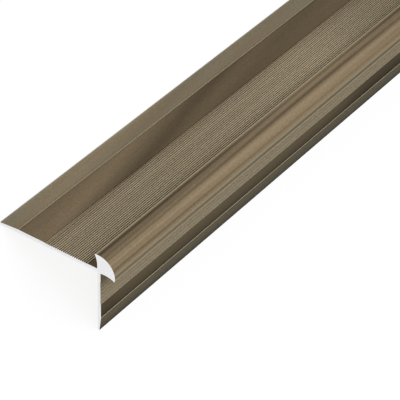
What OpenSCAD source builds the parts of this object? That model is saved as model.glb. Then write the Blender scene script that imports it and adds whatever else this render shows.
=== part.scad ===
// Stair nosing: an extruded aluminium edge profile for a stair step, cut to a stock length.
// A tread flange and a riser leg meet in a crescent nose. The horns of the crescent reach
// over the edges of the floor covering, one on the tread and one on the riser.
//
// The section is drawn as it is fitted: the tread is level, the riser is plumb, and the
// origin is the step's edge, in the inner corner. First axis: back over the tread.
// Second axis: up. The bar then lies on the floor on its two free edges, nose up.

/* [Bar] */
// Length of the cut bar
bar_length = 900; // [300:50:3000]

/* [Tread flange] */
// Thickness of the flange at its ridge
tread_wall = 1.7; // [1.2:0.1:2.5]
// Depth from the step's edge to the flange's back edge
tread_depth = 43; // [36:0.1:60]
// Plain strip between the nose and the first rib
tread_margin = 3.6; // [2:0.1:8]
// Smooth band between the ribs and the tapered strip
tread_band = 11.7; // [6:0.1:16]
// Width of the tapered strip along the back edge
tread_taper = 8.3; // [4:0.1:12]
// Thickness left at the back edge
tread_edge = 0.9; // [0.5:0.1:1.2]

/* [Riser leg] */
// Thickness of the leg at its ridge
riser_wall = 1.5; // [1.2:0.1:2.5]
// Drop from the step's edge to the leg's lower edge
riser_drop = 26; // [20:0.1:40]
// Plain strip between the nose and the first rib
riser_margin = 3.8; // [2:0.1:7]
// Smooth band between the ribs and the tapered strip
riser_band = 5.9; // [3:0.1:8]
// Height of the tapered strip along the lower edge
riser_taper = 6; // [3:0.1:8]
// Thickness left at the lower edge
riser_edge = 0.6; // [0.4:0.1:1.2]

/* [Ribs and bands] */
// Distance from rib to rib
rib_pitch = 0.83; // [0.7:0.01:1.6]
// Height of a rib above its root
rib_depth = 0.3; // [0.1:0.05:0.6]
// Width of a rib's flat crest
rib_crest = 0.25; // [0.1:0.01:0.4]
// Width of the flat root between two ribs
rib_root = 0.2; // [0.05:0.01:0.25]
// How far the bands and the ribs' crests lie below the ridge, and the run of the slope to it
band_recess = 0.16; // [0.02:0.02:0.3]

/* [Nose] */
// Radius of the rounded front
nose_radius = 7.2; // [6.8:0.1:8.5]
// How far the nose reaches above and in front of the step's edge
nose_reach = 7.55; // [6.5:0.05:8.5]
// Radius of the hollow face over the tread covering
tread_lip_radius = 10; // [9:0.1:20]
// Height above the tread's ridge at which that hollow is plumb
tread_lip_plumb = 1.1; // [0:0.1:2]
// Radius of the hollow face over the riser covering
riser_lip_radius = 9; // [8:0.1:16]
// Distance in front of the riser's ridge at which that hollow is level
riser_lip_level = 1.7; // [0.5:0.1:2.5]
// Rounding of the two tips
tip_radius = 0.2; // [0.1:0.05:0.4]

/* [Hidden] */
$fn = 96;

bronze = [0.46, 0.41, 0.32];

// The bar lies on the flange's back edge and the leg's lower edge.
lie_angle = atan2(riser_drop, tread_depth);
foot_drop = riser_drop * cos(lie_angle);
back_reach = tread_depth * cos(lie_angle) + tread_edge * sin(lie_angle);
front_reach = riser_drop * sin(lie_angle) + riser_edge * cos(lie_angle);

// Where the bands meet, from the step's edge.
tread_ridge = tread_depth - tread_taper;
tread_ribs_end = tread_ridge - tread_band;
tread_rib_count = floor((tread_ribs_end - tread_margin) / rib_pitch);
riser_ridge = riser_drop - riser_taper;
riser_ribs_end = riser_ridge - riser_band;
riser_rib_count = floor((riser_ribs_end - riser_margin) / rib_pitch);

rib_flank = (rib_pitch - rib_crest - rib_root) / 2;
tread_level = tread_wall - band_recess;
riser_level = riser_wall - band_recess;

// The nose's three arcs: the round front, and the two hollow lips.
front_centre = [nose_radius - nose_reach, nose_reach - nose_radius];
tread_lip_centre = [tread_lip_radius, tread_wall + tread_lip_plumb];
riser_lip_centre = [-riser_wall - riser_lip_level, -riser_lip_radius];
// A tip's arc stands a hundredth of a millimetre proud of the two it joins, so that it crosses them.
tip_fit = tip_radius - 0.01;

// The point where two circles cross, on the left of the line from the first centre to the second.
function crossing(c1, r1, c2, r2) =
    let (gap = norm(c2 - c1))
    let (along = (c2 - c1) / gap)
    let (reach = (gap * gap + r1 * r1 - r2 * r2) / (2 * gap))
    let (aside = sqrt(r1 * r1 - reach * reach))
    c1 + reach * along + aside * [-along[1], along[0]];

// A row of ribs that ends on a band, with its crests at the band's level.
function rib_row(level, ribs_end, count) = [
    for (i = [0 : count - 1])
        let (foot = ribs_end - i * rib_pitch)
        each [
            [foot, level - rib_depth],
            [foot - rib_flank, level],
            [foot - rib_flank - rib_crest, level],
            [foot - 2 * rib_flank - rib_crest, level - rib_depth],
        ]
];

// One wall's face, from its free edge to the nose: tapered strip, ridge, band, ribs, margin.
function wall_face(reach, edge, ridge, level, ribs_end, count, margin_level) = concat(
    [[reach, 0], [reach, edge], [ridge, level + band_recess], [ridge - band_recess, level]],
    [[ribs_end, level]],
    rib_row(level, ribs_end, count),
    [[ribs_end - count * rib_pitch, margin_level]]
);

// The leg is the same kind of wall, turned to hang down and taken from the nose to its free edge.
function hung(face) = [for (i = [len(face) - 1 : -1 : 0]) [-face[i][1], -face[i][0]]];

// The tread flange and the riser leg in one outline, from the step's edge round both walls.
module walls() {
    tread_root = tread_level - rib_depth;
    tread_face = wall_face(
        tread_depth, tread_edge, tread_ridge, tread_level, tread_ribs_end, tread_rib_count, tread_root
    );
    riser_face = wall_face(
        riser_drop, riser_edge, riser_ridge, riser_level, riser_ribs_end, riser_rib_count, riser_level
    );
    polygon(concat([[0, 0]], tread_face, [[-riser_level, tread_root]], hung(riser_face)));
}

// What rounds a tip off: the piece beyond the two places where the tip's own arc takes over.
module beyond_tip(centre, lip_centre, lip_radius) {
    on_front = front_centre + (centre - front_centre) * nose_radius / (nose_radius - tip_fit);
    on_lip = lip_centre + (centre - lip_centre) * lip_radius / (lip_radius + tip_fit);
    outward = on_front + on_lip - 2 * centre;
    polygon([on_front, on_lip, on_lip + 4 * outward, on_front + 4 * outward]);
}

// The crescent: a round front with a hollow behind it and a hollow below it. Its root ends
// in the middle of the walls' corner.
module nose() {
    tread_tip = crossing(front_centre, nose_radius - tip_fit, tread_lip_centre, tread_lip_radius + tip_fit);
    riser_tip = crossing(riser_lip_centre, riser_lip_radius + tip_fit, front_centre, nose_radius - tip_fit);
    difference() {
        translate(front_centre)
            circle(nose_radius);
        translate(tread_lip_centre)
            circle(tread_lip_radius);
        translate(riser_lip_centre)
            circle(riser_lip_radius);
        translate([-riser_wall / 2, tread_wall / 2 - 2 * nose_radius])
            square(2 * nose_radius);
        beyond_tip(tread_tip, tread_lip_centre, tread_lip_radius);
        beyond_tip(riser_tip, riser_lip_centre, riser_lip_radius);
    }
    translate(tread_tip)
        circle(tip_radius);
    translate(riser_tip)
        circle(tip_radius);
}

module section() {
    walls();
    nose();
}

module nosing()
    color(bronze)
        translate([0, (front_reach - back_reach) / 2, foot_drop])
            rotate([90, 0, 90])
                linear_extrude(bar_length, center = true)
                    rotate(-lie_angle)
                        section();

nosing();
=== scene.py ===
"""Stair nosing: one bar of bronze anodised aluminium, lying loose on a studio floor."""

import math

import bmesh
import bpy
from mathutils import Euler, Matrix, Vector


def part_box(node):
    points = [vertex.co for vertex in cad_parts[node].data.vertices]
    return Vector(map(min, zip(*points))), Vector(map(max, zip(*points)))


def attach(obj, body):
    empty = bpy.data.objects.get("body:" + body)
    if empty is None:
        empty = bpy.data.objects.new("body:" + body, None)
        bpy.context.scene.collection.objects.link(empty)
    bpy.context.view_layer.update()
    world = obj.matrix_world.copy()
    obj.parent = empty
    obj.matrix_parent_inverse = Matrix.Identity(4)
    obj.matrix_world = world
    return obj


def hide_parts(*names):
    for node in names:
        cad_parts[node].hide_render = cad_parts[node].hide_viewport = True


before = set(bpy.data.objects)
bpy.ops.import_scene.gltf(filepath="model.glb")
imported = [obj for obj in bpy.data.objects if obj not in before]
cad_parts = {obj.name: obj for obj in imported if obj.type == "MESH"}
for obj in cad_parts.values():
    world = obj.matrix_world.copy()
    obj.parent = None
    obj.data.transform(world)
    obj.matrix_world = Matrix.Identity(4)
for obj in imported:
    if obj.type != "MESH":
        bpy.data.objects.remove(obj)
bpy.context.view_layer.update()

# The walls
# A tread flange and a riser leg, in one piece with the nose: aluminium pressed hot through a
# die, so that every rib and edge runs the bar's whole length.

# The section in metres, as it is fitted on a step: the origin is the step's edge, the tread
# runs back from it and the riser runs down from it.
bar_low, bar_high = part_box("nosing")
bar_length = bar_high.x - bar_low.x
tread_wall = 0.0017
tread_depth = 0.043
tread_edge = 0.0009
tread_ridge = 0.0347
tread_ribs_end = 0.023
tread_rib_count = 23
riser_wall = 0.0015
riser_drop = 0.026
riser_edge = 0.0006
riser_ridge = 0.02
riser_ribs_end = 0.0141
riser_rib_count = 12
rib_pitch = 0.00083
rib_crest = 0.00025
rib_flank = 0.00019
rib_depth = 0.0003
band_recess = 0.00016
tread_level = tread_wall - band_recess
riser_level = riser_wall - band_recess
crest_rounding = 0.00004
ridge_rounding = 0.00004
edge_rounding = 0.0001
same_place = 1e-6


def at(back, up):
    """A place in the section, or a way across it."""
    return Vector((0, back, up))


def start_strip(name, middle, width, turn):
    """Adds a flat strip as long as the bar, and opens it for editing by its edges."""
    bpy.ops.object.select_all(action="DESELECT")
    bpy.ops.mesh.primitive_plane_add(size=1, location=middle, rotation=(turn, 0, 0))
    strip = bpy.context.active_object
    strip.name = name
    strip.scale = (bar_length, width, 1)
    bpy.ops.object.transform_apply(location=True, rotation=True, scale=True)
    bpy.ops.object.mode_set(mode="EDIT")
    bpy.ops.mesh.select_mode(type="EDGE")
    return strip


def select_long_edges(strip, *places):
    """Selects the edges that run along the bar through these places in its section."""
    bpy.ops.mesh.select_all(action="DESELECT")
    mesh = bmesh.from_edit_mesh(strip.data)
    for edge in mesh.edges:
        start, end = (corner.co for corner in edge.verts)
        lengthwise = abs(end.x - start.x) > bar_length / 2
        if lengthwise and any(math.dist(start.yz, place.yz) < same_place for place in places):
            edge.select_set(True)
    bmesh.update_edit_mesh(strip.data)


def selected_place(strip):
    """Where the selected long edge is in the section."""
    mesh = bmesh.from_edit_mesh(strip.data)
    return next(corner.co.copy() for corner in mesh.verts if corner.select)


def pull_to(strip, place):
    """Draws the selected long edge straight out to a place, with metal skin behind it."""
    here = selected_place(strip)
    step = (0, place.y - here.y, place.z - here.z)
    bpy.ops.mesh.extrude_region_move(TRANSFORM_OT_translate={"value": step})


def press_wall(name, away, out, turn, depth, edge, ridge, level, ribs_end, rib_count):
    """One wall's skin: a field of ribs, then band, ridge, taper, free edge and hidden side.

    away leads along the wall from the step's edge, and out leads from its hidden side. The
    ribs' crests, the band and the taper's start are at one level, and the ridge is a small bead
    above it.
    """
    root = level - rib_depth
    crest_end = ribs_end - rib_flank
    crest_start = crest_end - rib_crest
    crest_edges = (away * crest_end + out * level, away * crest_start + out * level)
    strip = start_strip(name, (crest_edges[0] + crest_edges[1]) / 2, rib_crest, turn)
    select_long_edges(strip, crest_edges[0])
    pull_to(strip, away * ribs_end + out * root)
    select_long_edges(strip, crest_edges[1])
    pull_to(strip, away * (crest_start - rib_flank) + out * root)
    pull_to(strip, away * (ribs_end - rib_pitch) + out * root)
    select_long_edges(strip, *crest_edges)
    bpy.ops.mesh.bevel(offset=crest_rounding, segments=2, affect="EDGES")

    bpy.ops.object.mode_set(mode="OBJECT")
    field = strip.modifiers.new("rib_field", "ARRAY")
    field.count = rib_count
    field.use_relative_offset = False
    field.use_constant_offset = True
    field.constant_offset_displace = -rib_pitch * away
    field.use_merge_vertices = True
    field.merge_threshold = same_place
    bpy.ops.object.modifier_apply(modifier=field.name)

    bpy.ops.object.mode_set(mode="EDIT")
    select_long_edges(strip, away * ribs_end + out * root)
    pull_to(strip, away * ribs_end + out * level)
    pull_to(strip, away * (ridge - band_recess) + out * level)
    pull_to(strip, away * ridge + out * (level + band_recess))
    pull_to(strip, away * (ridge + band_recess) + out * level)
    pull_to(strip, away * depth + out * edge)
    pull_to(strip, away * depth)
    pull_to(strip, at(0, 0))
    select_long_edges(strip, away * ridge + out * (level + band_recess))
    bpy.ops.mesh.bevel(offset=ridge_rounding, segments=2, affect="EDGES")
    select_long_edges(strip, away * depth + out * edge, away * depth)
    bpy.ops.mesh.bevel(offset=edge_rounding, segments=3, affect="EDGES")
    bpy.ops.object.mode_set(mode="OBJECT")
    return strip


nosing = press_wall(
    "nosing_bar", at(1, 0), at(0, 1), 0,
    tread_depth, tread_edge, tread_ridge, tread_level, tread_ribs_end, tread_rib_count,
)
riser = press_wall(
    "riser_leg", at(0, -1), at(-1, 0), math.pi / 2,
    riser_drop, riser_edge, riser_ridge, riser_level, riser_ribs_end, riser_rib_count,
)
bpy.ops.object.select_all(action="DESELECT")
riser.select_set(True)
nosing.select_set(True)
bpy.context.view_layer.objects.active = nosing
bpy.ops.object.join()

# The nose
# A crescent over the corner of the walls, pressed in one with them: a round front, a hollow lip
# over the tread's covering, a hollow lip over the riser's covering, and two rounded tips.
nose_radius = 0.0072
nose_middle = at(-0.00035, 0.00035)
tread_lip_radius = 0.010
tread_lip_middle = at(tread_lip_radius, 0.0028)
riser_lip_radius = 0.009
riser_lip_middle = at(-0.0032, -riser_lip_radius)
tip_radius = 0.0002
front_steps, lip_steps, tip_steps = 56, 16, 8

# The walls are still open at the roots of their first ribs. The plain strip from there to the
# nose lies just below the crests on the tread, and level with them on the riser.
tread_ribs_start = tread_ribs_end - tread_rib_count * rib_pitch
tread_root = tread_level - rib_depth
margin_recess = 0.00007
tread_margin_level = tread_level - margin_recess
riser_ribs_start = riser_ribs_end - riser_rib_count * rib_pitch
riser_root = riser_level - rib_depth


def crossing(first, first_radius, second, second_radius):
    """Where two arcs cross, on the left of the way from the first middle to the second."""
    gap = second - first
    reach = (gap.length_squared + first_radius**2 - second_radius**2) / (2 * gap.length)
    aside = math.sqrt(first_radius**2 - reach**2)
    along = gap.normalized()
    return first + along * reach + at(-along.z, along.y) * aside


def on_arc(middle, radius, towards):
    """The place on an arc in the direction of another place."""
    return middle + (towards - middle).normalized() * radius


def sweep_to(strip, middle, place, steps):
    """Draws the selected long edge out to a place along an arc. Spin turns against its angle."""
    here = selected_place(strip)
    start = math.atan2(here.z - middle.z, here.y - middle.y)
    end = math.atan2(place.z - middle.z, place.y - middle.y)
    angle = math.remainder(end - start, math.tau)
    bpy.ops.mesh.spin(steps=steps, angle=-angle, center=middle, axis=(1, 0, 0))


tread_tip = crossing(
    nose_middle, nose_radius - tip_radius, tread_lip_middle, tread_lip_radius + tip_radius
)
riser_tip = crossing(
    riser_lip_middle, riser_lip_radius + tip_radius, nose_middle, nose_radius - tip_radius
)

# Where each hollow lip meets the plain strip beside it.
lip_rise = tread_lip_middle.z - tread_margin_level
lip_depth = math.sqrt(tread_lip_radius**2 - lip_rise**2)
tread_lip_foot = at(tread_lip_radius - lip_depth, tread_margin_level)
lip_run = riser_lip_middle.y + riser_level
riser_lip_foot = at(-riser_level, math.sqrt(riser_lip_radius**2 - lip_run**2) - riser_lip_radius)

bpy.ops.object.mode_set(mode="EDIT")
select_long_edges(nosing, at(tread_ribs_start, tread_root))
pull_to(nosing, at(tread_ribs_start, tread_margin_level))
pull_to(nosing, tread_lip_foot)
sweep_to(
    nosing, tread_lip_middle, on_arc(tread_lip_middle, tread_lip_radius, tread_tip), lip_steps
)
sweep_to(nosing, tread_tip, on_arc(nose_middle, nose_radius, tread_tip), tip_steps)
sweep_to(nosing, nose_middle, on_arc(nose_middle, nose_radius, riser_tip), front_steps)
sweep_to(nosing, riser_tip, on_arc(riser_lip_middle, riser_lip_radius, riser_tip), tip_steps)
sweep_to(nosing, riser_lip_middle, riser_lip_foot, lip_steps)
pull_to(nosing, at(-riser_level, -riser_ribs_start))
pull_to(nosing, at(-riser_root, -riser_ribs_start))
bpy.ops.mesh.select_all(action="SELECT")
bpy.ops.mesh.remove_doubles(threshold=same_place)
bpy.ops.object.mode_set(mode="OBJECT")

# The finish
# Bronze anodising over etched metal. The die has left fine lines and streaks along the bar, and
# the etching a fine grain and clouds of greyer bronze. Every second rib is darker. The tones of
# the zones carry painted light and shade, and a painted reflection slants over the tread in bands.
warm_bronze = (0.30, 0.22, 0.13, 1)
grey_bronze = (0.30, 0.263, 0.186, 1)
edge_tint = (0.45, 0.45, 0.45, 1)
line_height = 0.000003
line_satin = 0.12
grain_amount = 0.1
painted_sheen_repeat = 0.45
painted_shade_repeat = 0.2
streak_and_reflection_repeat = 0.26
streak_and_reflection_wander = 7
number_kind, colour_kind, place_kind = "NodeSocketFloat", "NodeSocketColor", "NodeSocketVector"

# How the bar lies: turned about the step's edge until both free edges touch the floor.
lie_angle = math.atan2(riser_drop, tread_depth)
front_reach = riser_drop * math.sin(lie_angle) + riser_edge * math.cos(lie_angle)
step_edge = Vector((0, bar_low.y + front_reach, bar_low.z + riser_drop * math.cos(lie_angle)))
near_end = Vector((-bar_length / 2, 0, 0))


def add_node(tree, kind, inputs=None, **settings):
    """Adds a node with its settings, and fills or links its inputs by name or number."""
    node = tree.nodes.new(kind)
    for name, value in settings.items():
        setattr(node, name, value)
    for name, value in (inputs or {}).items():
        if isinstance(value, bpy.types.NodeSocket):
            tree.links.new(value, node.inputs[name])
        else:
            node.inputs[name].default_value = value
    return node


def start_group(name, inputs, outputs):
    """A node group with these sockets, and the nodes where it is entered and left."""
    group = bpy.data.node_groups.new(name, "ShaderNodeTree")
    for socket, kind in inputs.items():
        group.interface.new_socket(socket, in_out="INPUT", socket_type=kind)
    for socket, kind in outputs.items():
        group.interface.new_socket(socket, in_out="OUTPUT", socket_type=kind)
    return group, add_node(group, "NodeGroupInput"), add_node(group, "NodeGroupOutput")


def worked_out(tree, operation, *values):
    """The result of one step of arithmetic."""
    step = add_node(tree, "ShaderNodeMath", dict(enumerate(values)), operation=operation)
    return step.outputs["Value"]


def mixed(tree, share, first, second):
    """A value between two others."""
    return add_node(tree, "ShaderNodeMix", {0: share, 2: first, 3: second}).outputs[0]


def along_axis(tree, place, axis):
    """One of a place's three measures: X along the bar, Y back over the tread, Z up."""
    return add_node(tree, "ShaderNodeSeparateXYZ", {0: place}).outputs[axis]


def eased(tree, value, start, end):
    """A soft step from 0 to 1, as a value goes from start to end."""
    step = add_node(
        tree, "ShaderNodeMapRange",
        {"Value": value, "From Min": start, "From Max": end}, interpolation_type="SMOOTHSTEP",
    )
    return step.outputs["Result"]


def tone_ramp(tree, measured, tones):
    """A tone, or another number, that follows a measured value smoothly.

    tones gives it at some of those values. A ramp cuts off what is above 1, so it holds shares
    of the highest one.
    """
    first, last, highest = min(tones), max(tones), max(tones.values())
    share = add_node(
        tree, "ShaderNodeMapRange", {"Value": measured, "From Min": first, "From Max": last}
    )
    ramp = add_node(tree, "ShaderNodeValToRGB", {"Fac": share.outputs["Result"]})
    ramp.color_ramp.interpolation = "CARDINAL"
    stops = ramp.color_ramp.elements
    while len(stops) < len(tones):
        stops.new(0.5)
    for stop, value in zip(stops, sorted(tones)):
        stop.position = (value - first) / (last - first)
        stop.color = (*3 * [tones[value] / highest], 1)
    return worked_out(tree, "MULTIPLY", ramp.outputs["Color"], highest)


def drawn_noise(tree, place, along, across, detail):
    """Noise with so many marks per metre along the bar and across it, even or drawn out."""
    stretched = add_node(
        tree, "ShaderNodeMapping", {"Vector": place, "Scale": (along, across, across)}
    )
    noise = add_node(
        tree, "ShaderNodeTexNoise",
        {"Vector": stretched.outputs["Vector"], "Scale": 1, "Detail": detail, "Roughness": 0.6},
    )
    return noise.outputs["Fac"]


def swing(tree, pattern, amount):
    """A factor that swings about 1 by an amount, as a noise goes from its low to its high."""
    signed = add_node(
        tree, "ShaderNodeMapRange",
        {"Value": pattern, "From Min": 0.3, "From Max": 0.7, "To Min": -1, "To Max": 1},
    )
    return worked_out(tree, "MULTIPLY_ADD", signed.outputs["Result"], amount, 1)


# Places on the lying bar, turned back to the section as it is fitted and to the near end.
section_place, _, leave = start_group("section_place", {}, {"Place": place_kind})
coordinates = add_node(section_place, "ShaderNodeTexCoord")
turned_back = add_node(
    section_place, "ShaderNodeMapping",
    {"Vector": coordinates.outputs["Object"], "Location": step_edge + near_end,
     "Rotation": (-lie_angle, 0, 0)},
    vector_type="TEXTURE",
)
section_place.links.new(turned_back.outputs["Vector"], leave.inputs["Place"])

# A painted reflection: a soft sheen in slanting bands, which comes again along the bar.
painted_slant_sheen, enter, leave = start_group(
    "painted_slant_sheen",
    {"Place": place_kind, "Slant": number_kind, "Start": number_kind, "Amount": number_kind},
    {"Factor": number_kind},
)
lag = worked_out(
    painted_slant_sheen, "MULTIPLY_ADD",
    along_axis(painted_slant_sheen, enter.outputs["Place"], "Y"), enter.outputs["Slant"],
    enter.outputs["Start"],
)
run = worked_out(
    painted_slant_sheen, "SUBTRACT", along_axis(painted_slant_sheen, enter.outputs["Place"], "X"), lag
)
painted_reflection_bands = tone_ramp(
    painted_slant_sheen,
    worked_out(painted_slant_sheen, "FRACT", worked_out(painted_slant_sheen, "DIVIDE", run, painted_sheen_repeat)),
    {0: 1.38, 0.04: 1.15, 0.08: 0.88, 0.115: 0.72, 0.147: 0.83, 0.19: 0.97, 0.25: 0.86,
     0.36: 0.98, 0.56: 0.92, 0.72: 0.98, 0.85: 1.08, 0.935: 1.2, 1: 1.38},
)
painted_slant_sheen.links.new(
    mixed(painted_slant_sheen, enter.outputs["Amount"], 1, painted_reflection_bands), leave.inputs["Factor"]
)

# Bronze of a given tone, from warm to grey, with the die's streaks and lines, an even grain, and
# clouds in which it is warmer or greyer.
die_marks, enter, leave = start_group(
    "die_marks",
    {"Place": place_kind, "Tone": number_kind, "Grey": number_kind, "Streaks": number_kind,
     "Lines": number_kind, "Clouds": number_kind, "Satin": number_kind},
    {"Colour": colour_kind, "Roughness": number_kind, "Height": number_kind},
)
place = enter.outputs["Place"]
streaks = drawn_noise(die_marks, place, along=4, across=1100, detail=2)
lines = drawn_noise(die_marks, place, along=6, across=6000, detail=3)
grain = drawn_noise(die_marks, place, along=1500, across=1500, detail=1)
clouds = drawn_noise(die_marks, place, along=18, across=120, detail=1)
tone = enter.outputs["Tone"]
for pattern, amount in (
    (streaks, enter.outputs["Streaks"]), (lines, enter.outputs["Lines"]), (grain, grain_amount)
):
    tone = worked_out(die_marks, "MULTIPLY", tone, swing(die_marks, pattern, amount))
clouded = worked_out(
    die_marks, "MULTIPLY", enter.outputs["Grey"],
    swing(die_marks, clouds, enter.outputs["Clouds"]),
)
hue = add_node(
    die_marks, "ShaderNodeMix",
    {0: clouded, 6: warm_bronze, 7: grey_bronze}, data_type="RGBA",
)
toned = add_node(
    die_marks, "ShaderNodeVectorMath", {0: hue.outputs[2], "Scale": tone}, operation="SCALE"
)
satin = worked_out(die_marks, "MULTIPLY_ADD", lines, line_satin, enter.outputs["Satin"])
die_marks.links.new(toned.outputs["Vector"], leave.inputs["Colour"])
die_marks.links.new(satin, leave.inputs["Roughness"])
die_marks.links.new(lines, leave.inputs["Height"])


def start_finish(name):
    """A new material, its empty tree, and the place in the section that its tones follow."""
    material = bpy.data.materials.new(name)
    material.use_nodes = True
    material.node_tree.nodes.clear()
    section = add_node(material.node_tree, "ShaderNodeGroup", node_tree=section_place)
    return material, material.node_tree, section.outputs["Place"]


def anodise(tree, place, tone, grey, satin, streaks=0.04, lines=0.04, clouds=0.1):
    """Fills a material's tree with anodised metal of a tone, with the die's marks in it."""
    marks = add_node(
        tree, "ShaderNodeGroup",
        {"Place": place, "Tone": tone, "Grey": grey, "Streaks": streaks, "Lines": lines,
         "Clouds": clouds, "Satin": satin},
        node_tree=die_marks,
    )
    bump = add_node(
        tree, "ShaderNodeBump",
        {"Height": marks.outputs["Height"], "Strength": 1, "Distance": line_height},
    )
    metal = add_node(
        tree, "ShaderNodeBsdfPrincipled",
        {"Base Color": marks.outputs["Colour"], "Roughness": marks.outputs["Roughness"],
         "Metallic": 1, "Specular Tint": edge_tint, "Normal": bump.outputs["Normal"]},
    )
    add_node(tree, "ShaderNodeOutputMaterial", {"Surface": metal.outputs["BSDF"]})


def uneven_ribs(tree, place, away, ribs_end, lag, amount):
    """A factor that leaves every second rib darker."""
    run = add_node(tree, "ShaderNodeVectorMath", {0: place, 1: away}, operation="DOT_PRODUCT")
    left = worked_out(tree, "SUBTRACT", ribs_end, run.outputs["Value"])
    ribs = worked_out(tree, "DIVIDE", left, rib_pitch)
    wave = worked_out(tree, "COSINE", worked_out(tree, "MULTIPLY_ADD", ribs, math.pi, -lag))
    return worked_out(tree, "MULTIPLY_ADD", wave, amount, 1)


finishes = {}


def finish_zone(
    name, axis, tones, grey, satin, painted_shade=None, along=None, painted_sheen=None, ribs=None, **marks
):
    """Bronze whose tone follows one axis of the section, with painted light and shade in it for
    how
    each zone faces the light: painted shade across and along the bar, and a painted reflection.

    How grey it is can follow the same axis. The painted shade along the bar comes again and again.
    The marks are how strong its streaks, lines and clouds are.
    """
    material, tree, place = start_finish("bronze_" + name)
    tone = tone_ramp(tree, along_axis(tree, place, axis), tones)
    if isinstance(grey, dict):
        grey = tone_ramp(tree, along_axis(tree, place, axis), grey)
    if painted_shade:
        painted_shading = tone_ramp(tree, along_axis(tree, place, "Y"), painted_shade)
        tone = worked_out(tree, "MULTIPLY", tone, painted_shading)
    if along:
        lengths = worked_out(tree, "DIVIDE", along_axis(tree, place, "X"), painted_shade_repeat)
        painted_shading = tone_ramp(tree, worked_out(tree, "FRACT", lengths), along)
        tone = worked_out(tree, "MULTIPLY", tone, painted_shading)
    if ribs:
        tone = worked_out(tree, "MULTIPLY", tone, uneven_ribs(tree, place, **ribs))
    if painted_sheen:
        slanting = add_node(
            tree, "ShaderNodeGroup", {"Place": place, **painted_sheen}, node_tree=painted_slant_sheen
        )
        tone = worked_out(tree, "MULTIPLY", tone, slanting.outputs["Factor"])
    anodise(tree, place, tone, grey, satin, **marks)
    finishes[name] = material


# The tread, by metres back from the step's edge, and its ribs by their height.
# Painted shade at both ends of each repeat along the taper, and a weak painted reflection in
# bands.
finish_zone(
    "tread_taper", "Y",
    {tread_ridge: 0.85, 0.0365: 0.93, 0.042: 0.93, 0.0427: 1.15, tread_depth: 1.1},
    grey={tread_ridge: 0.55, 0.0395: 0.55, 0.042: 0.7, 0.0427: 1, tread_depth: 1}, satin=0.35,
    along={0: 0.87, 0.03: 0.91, 0.08: 0.97, 0.15: 1, 0.9: 1, 1: 0.87},
    painted_sheen={"Slant": 7.8, "Start": -0.262, "Amount": 0.3}, clouds=0.5,
)
# A pale painted highlight along the tread's ridge.
finish_zone(
    "tread_ridge", "Y",
    {tread_ridge - band_recess: 0.68, tread_ridge: 1.03, tread_ridge + band_recess: 1.03},
    grey=0.9, satin=0.35,
)
# The band's dark tone is painted reflection, with painted reflection in slanting bands over it.
finish_zone(
    "tread_band", "Y",
    {0.0222: 0.69, tread_ribs_end: 0.72, 0.0232: 0.57, 0.025: 0.59, 0.0335: 0.58,
     tread_ridge: 0.5},
    grey=0.17, satin=0.3, painted_sheen={"Slant": 5.6, "Start": -0.127, "Amount": 1},
)
tread_shoulder = tread_level - 0.0001
# The grooves are darker, partly painted shade and partly a duller finish. The ribs beside the band
# and near the nose are in painted shade, and painted reflection bands run along them.
finish_zone(
    "tread_ribs", "Z", {tread_root: 0.69, tread_shoulder: 0.79, tread_level: 1.67},
    grey={tread_root: 0, tread_shoulder: 0.45, tread_level: 1}, satin=0.5,
    painted_shade={0.004: 1, 0.0065: 1.11, 0.009: 1.08, 0.011: 1.09, 0.013: 1.01, 0.017: 1.02,
           0.02: 0.93, 0.0213: 0.89, 0.0222: 0.7},
    painted_sheen={"Slant": 0, "Start": -0.3, "Amount": 0.4},
    ribs={"away": at(1, 0), "ribs_end": tread_ribs_end, "lag": 2.9, "amount": 0.085},
    streaks=0.11, lines=0.02, clouds=0,
)

# The riser, by metres up from the step's edge, and its ribs by how far they stand out. The band
# is light close to the ribs.
# The grooves are darker, partly painted shade and partly a duller finish.
finish_zone(
    "riser_ribs", "Y", {-riser_root: 0.79, -riser_level: 1.1}, grey=0.8, satin=0.5,
    ribs={"away": at(0, -1), "ribs_end": riser_ribs_end, "lag": 0.9, "amount": 0.12},
    streaks=0, lines=0.02, clouds=0,
)
# The band's dark tone is painted reflection, with a painted shadow just above the ridge and
# painted shade near both ends of each repeat along the bar.
finish_zone(
    "riser_band", "Z",
    {-riser_ribs_end: 1.1, -0.0142: 0.95, -0.01435: 0.46, -0.0147: 0.41, -0.0158: 0.43,
     -0.0173: 0.37, -0.0184: 0.33, -0.0192: 0.25, -riser_ridge: 0.14},
    grey=0.5, satin=0.3,
    along={0: 0.75, 0.035: 0.78, 0.06: 0.9, 0.1: 0.97, 0.2: 1, 0.7: 1.02, 0.78: 0.89,
           0.84: 0.75, 0.92: 0.72, 1: 0.75},
)
# A pale painted highlight along the riser's ridge.
finish_zone(
    "riser_ridge", "Z",
    {-riser_ridge - band_recess: 0.6, -riser_ridge: 0.97, -riser_ridge + band_recess: 1.12},
    grey=1, satin=0.35,
)
# The taper's dark tone is painted reflection, and it is darker towards its foot as painted shade.
finish_zone(
    "riser_taper", "Z",
    {-riser_ridge: 0.4, -0.0212: 0.49, -0.0235: 0.43, -0.025: 0.33, -riser_drop: 0.12},
    grey=0.9, satin=0.35,
)

# The tips, the plain strips, and the hollow lips with the hidden sides, each of one tone.
# The tips and the plain strips beside the nose are painted dark, as the nose's shade.
finish_zone("tip", "Z", {0: 0.65, tread_wall: 0.65}, grey=0.9, satin=0.35)
finish_zone("tread_margin", "Z", {0: 0.34, tread_wall: 0.34}, grey=0.3, satin=0.4)
finish_zone("riser_margin", "Z", {-riser_drop: 0.48, 0: 0.48}, grey=0.6, satin=0.4)
finish_zone("recess", "Z", {0: 0.7, tread_wall: 0.7}, grey=0.5, satin=0.4)

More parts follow.
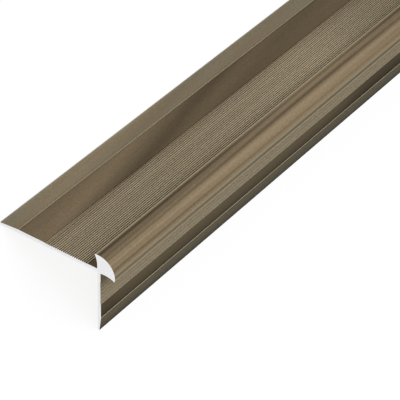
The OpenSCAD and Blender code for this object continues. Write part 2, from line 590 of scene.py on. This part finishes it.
# The nose's tones by the degrees round it from level at the back: die streaks together with
# painted reflections, and painted highlights at both tips, and how grey it is follows them. On its
# upper front they wander slowly to and fro along the bar. All of them change from the near end to
# half a repeat on, some later than others, and back again.
material, tree, place = start_finish("bronze_nose")
from_middle = add_node(
    tree, "ShaderNodeVectorMath", {0: place, 1: nose_middle}, operation="SUBTRACT"
).outputs["Vector"]
from_plumb = worked_out(
    tree, "ARCTAN2", along_axis(tree, from_middle, "Y"), along_axis(tree, from_middle, "Z")
)
angle = worked_out(tree, "SUBTRACT", 90, worked_out(tree, "DEGREES", from_plumb))
turns = worked_out(tree, "MULTIPLY", along_axis(tree, place, "X"), math.tau / streak_and_reflection_repeat)
sway = worked_out(tree, "MULTIPLY_ADD", worked_out(tree, "COSINE", turns), -0.5, 0.5)
loose = worked_out(tree, "MULTIPLY", eased(tree, angle, 96, 107), eased(tree, angle, 140, 122))
wander = worked_out(tree, "MULTIPLY", worked_out(tree, "MULTIPLY", sway, loose), streak_and_reflection_wander)
wandered = worked_out(tree, "ADD", angle, wander)
near_tone = tone_ramp(
    tree, wandered,
    {79: 1.62, 83: 1.34, 88: 0.61, 93: 0.35, 102: 0.75, 108: 0.61, 115: 0.77, 121: 0.55,
     126: 0.65, 129: 0.54, 135: 0.68, 141: 0.59, 148: 0.87, 154: 0.68, 165: 1.13, 169: 1.13,
     177: 0.63, 186: 1.3, 191: 0.95},
)
far_tone = tone_ramp(
    tree, wandered,
    {79: 1.76, 84: 1.26, 93: 0.71, 98: 0.92, 103: 0.95, 109: 1, 115: 0.78, 121: 0.41, 126: 0.58,
     130: 0.68, 134: 0.67, 140: 0.77, 147: 0.98, 153: 0.88, 158: 1.04, 165: 1.22, 169: 1.15,
     177: 0.57, 186: 1.32, 191: 0.95},
)
nose_grey = tone_ramp(
    tree, angle,
    {80: 0.75, 88: 0.3, 93: 0.05, 98: 0.2, 105: 0.28, 110: 0.25, 114: 0.08, 134: 0.27,
     154: 0.05, 166: 0.55, 191: 0.65},
)
delay = tone_ramp(tree, angle, {86: 2.6, 93: 2.1, 98: 4, 103: 2.4, 112: 1})
change = worked_out(tree, "POWER", sway, delay)
anodise(tree, place, mixed(tree, change, near_tone, far_tone), nose_grey, 0.33, streaks=0.08)
finishes["nose"] = material


def wall_zone(name, run, ridge, band_start, ribs_start):
    """The part of a wall at a distance from the step's edge."""
    if run > ridge + band_recess:
        return name + "_taper"
    if run > ridge - band_recess:
        return name + "_ridge"
    if run > band_start:
        return name + "_band"
    return name + "_ribs" if run > ribs_start else name + "_margin"


def zone_of(face):
    """The part of the section that a face belongs to.

    The rib beside the tread's band is as dark as the band, so it counts as part of it.
    """
    here = at(face.center.y, face.center.z)
    close = 5 * same_place
    if abs((here - nose_middle).length - nose_radius) < close:
        return "nose"
    if min((here - tread_tip).length, (here - riser_tip).length) < tip_radius + close:
        return "tip"
    if here.y > tread_lip_foot.y and close < here.z <= tread_wall:
        band_start = tread_ribs_end - rib_pitch
        return wall_zone("tread", here.y, tread_ridge, band_start, tread_ribs_start)
    if here.z < riser_lip_foot.z and -riser_wall <= here.y < -close:
        return wall_zone("riser", -here.z, riser_ridge, riser_ribs_end, riser_ribs_start)
    return "recess"


nosing.data.materials.clear()
for finish in finishes.values():
    nosing.data.materials.append(finish)
zone_names = list(finishes)
for face in nosing.data.polygons:
    face.material_index = zone_names.index(zone_of(face))

# The ends
# The bar is sawn off square at both ends, after it was anodised, so they are bare aluminium
# with the arcs that the saw blade leaves.
blade_middle = Vector((0, 0.06, -0.13))
arc_height = 0.000006
sharp_angle = math.radians(32)
bare = bpy.data.materials.new("bare_sawn_aluminium")
bare.use_nodes = True
tree = bare.node_tree
tree.nodes.clear()
coordinates = add_node(tree, "ShaderNodeTexCoord")
from_blade = add_node(
    tree, "ShaderNodeMapping",
    {"Vector": coordinates.outputs["Object"], "Location": blade_middle}, vector_type="TEXTURE",
)
saw_arcs = add_node(
    tree, "ShaderNodeTexWave",
    {"Vector": from_blade.outputs["Vector"], "Scale": 700, "Distortion": 2, "Detail": 2},
    wave_type="RINGS", rings_direction="X",
)
bare_tone = add_node(
    tree, "ShaderNodeMapRange",
    {"Value": saw_arcs.outputs["Fac"], "To Min": 0.85, "To Max": 0.93},
)
bare_bump = add_node(
    tree, "ShaderNodeBump",
    {"Height": saw_arcs.outputs["Fac"], "Strength": 1, "Distance": arc_height},
)
bare_metal = add_node(
    tree, "ShaderNodeBsdfPrincipled",
    {"Base Color": bare_tone.outputs["Result"], "Metallic": 0.6, "Roughness": 0.4,
     "Normal": bare_bump.outputs["Normal"]},
)
add_node(tree, "ShaderNodeOutputMaterial", {"Surface": bare_metal.outputs["BSDF"]})
nosing.data.materials.append(bare)

bpy.ops.object.mode_set(mode="EDIT")
for end in (-bar_length / 2, bar_length / 2):
    bpy.ops.mesh.select_all(action="DESELECT")
    mesh = bmesh.from_edit_mesh(nosing.data)
    for edge in mesh.edges:
        if all(abs(corner.co.x - end) < same_place for corner in edge.verts):
            edge.select_set(True)
    bmesh.update_edit_mesh(nosing.data)
    bpy.ops.mesh.edge_face_add()
    nosing.active_material_index = len(nosing.data.materials) - 1
    bpy.ops.object.material_slot_assign()
bpy.ops.mesh.select_all(action="SELECT")
bpy.ops.mesh.normals_make_consistent(inside=False)

# The finished bar is turned and set down where the frame has it.
bpy.ops.transform.rotate(value=lie_angle, orient_axis="X", center_override=(0, 0, 0))
bpy.ops.transform.translate(value=step_edge)
bpy.ops.object.mode_set(mode="OBJECT")
bpy.ops.object.shade_smooth_by_angle(angle=sharp_angle)
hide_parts("nosing")
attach(nosing, "root")

# The floor
# A plain studio floor of pale paper, laid flat and so wide that its edge is never seen. In view it
# glows, so that it shows white and keeps the bar's shadow.
floor_size = 60
paper_white = (0.8, 0.8, 0.8, 1)
shadow_white = (0.14, 0.14, 0.14, 1)
glow_white = (0.88, 0.88, 0.88, 1)
bpy.ops.object.select_all(action="DESELECT")
bpy.ops.mesh.primitive_plane_add(size=floor_size)
floor = bpy.context.active_object
floor.name = "studio_floor"
paper = bpy.data.materials.new("white_paper")
paper.use_nodes = True
tree = paper.node_tree
tree.nodes.clear()
path = add_node(tree, "ShaderNodeLightPath")
in_view = worked_out(
    tree, "MAXIMUM", path.outputs["Is Camera Ray"], path.outputs["Is Glossy Ray"]
)
shown = worked_out(tree, "MAXIMUM", in_view, path.outputs["Is Transmission Ray"])
matt = add_node(tree, "ShaderNodeBsdfDiffuse", {"Color": paper_white})
shaded = add_node(tree, "ShaderNodeBsdfDiffuse", {"Color": shadow_white})
glow = add_node(tree, "ShaderNodeEmission", {"Color": glow_white, "Strength": 1})
white = add_node(
    tree, "ShaderNodeAddShader", {0: shaded.outputs["BSDF"], 1: glow.outputs["Emission"]}
)
either = add_node(
    tree, "ShaderNodeMixShader",
    {0: shown, 1: matt.outputs["BSDF"], 2: white.outputs["Shader"]},
)
add_node(tree, "ShaderNodeOutputMaterial", {"Surface": either.outputs["Shader"]})
floor.data.materials.append(paper)

# The light
# Even light from all round, with a long softbox hung over the bar and a weaker one beside the
# camera. Neither softbox shows in the picture.
studio_white = (0.75, 0.75, 0.75, 1)
world = bpy.data.worlds.new("studio")
world.use_nodes = True
world.node_tree.nodes["Background"].inputs["Color"].default_value = studio_white
bpy.context.scene.world = world


def hang_softbox(name, location, target, size, energy):
    """A rectangular softbox that faces a target."""
    aim = Vector(target) - Vector(location)
    bpy.ops.object.light_add(
        type="AREA", location=location, rotation=aim.to_track_quat("-Z", "Y").to_euler()
    )
    lamp = bpy.context.active_object
    lamp.name = name
    lamp.data.shape = "RECTANGLE"
    lamp.data.size, lamp.data.size_y = size
    lamp.data.energy = energy
    lamp.visible_camera = False


hang_softbox(
    "key_softbox", location=(0.3, -0.5, 1.3), target=(0, 0, 0), size=(2.0, 0.9), energy=7
)
hang_softbox(
    "fill_softbox", location=(-1.4, -0.6, 0.8), target=(-0.4, 0, 0), size=(0.8, 0.8), energy=2
)

# The camera
# A long lens that looks down on the near end. It is placed as for a fitted bar and then turned
# with it, so that the tread looks level.
camera_lens = 196.65
camera_sensor = 36
camera_from_corner = Vector((-0.44644, -0.3552, 0.47531))
camera_turn = Euler([math.radians(angle) for angle in (52.089, -1.0743, -54.099)])
as_fitted = Matrix.LocRotScale(near_end + camera_from_corner, camera_turn, None)
laid_down = Matrix.Translation(step_edge) @ Matrix.Rotation(-lie_angle, 4, "X")
bpy.ops.object.camera_add()
camera = bpy.context.active_object
camera.matrix_world = laid_down @ as_fitted
camera.data.lens = camera_lens
camera.data.sensor_width = camera_sensor
bpy.context.scene.camera = camera
bpy.context.scene.view_settings.view_transform = "Standard"
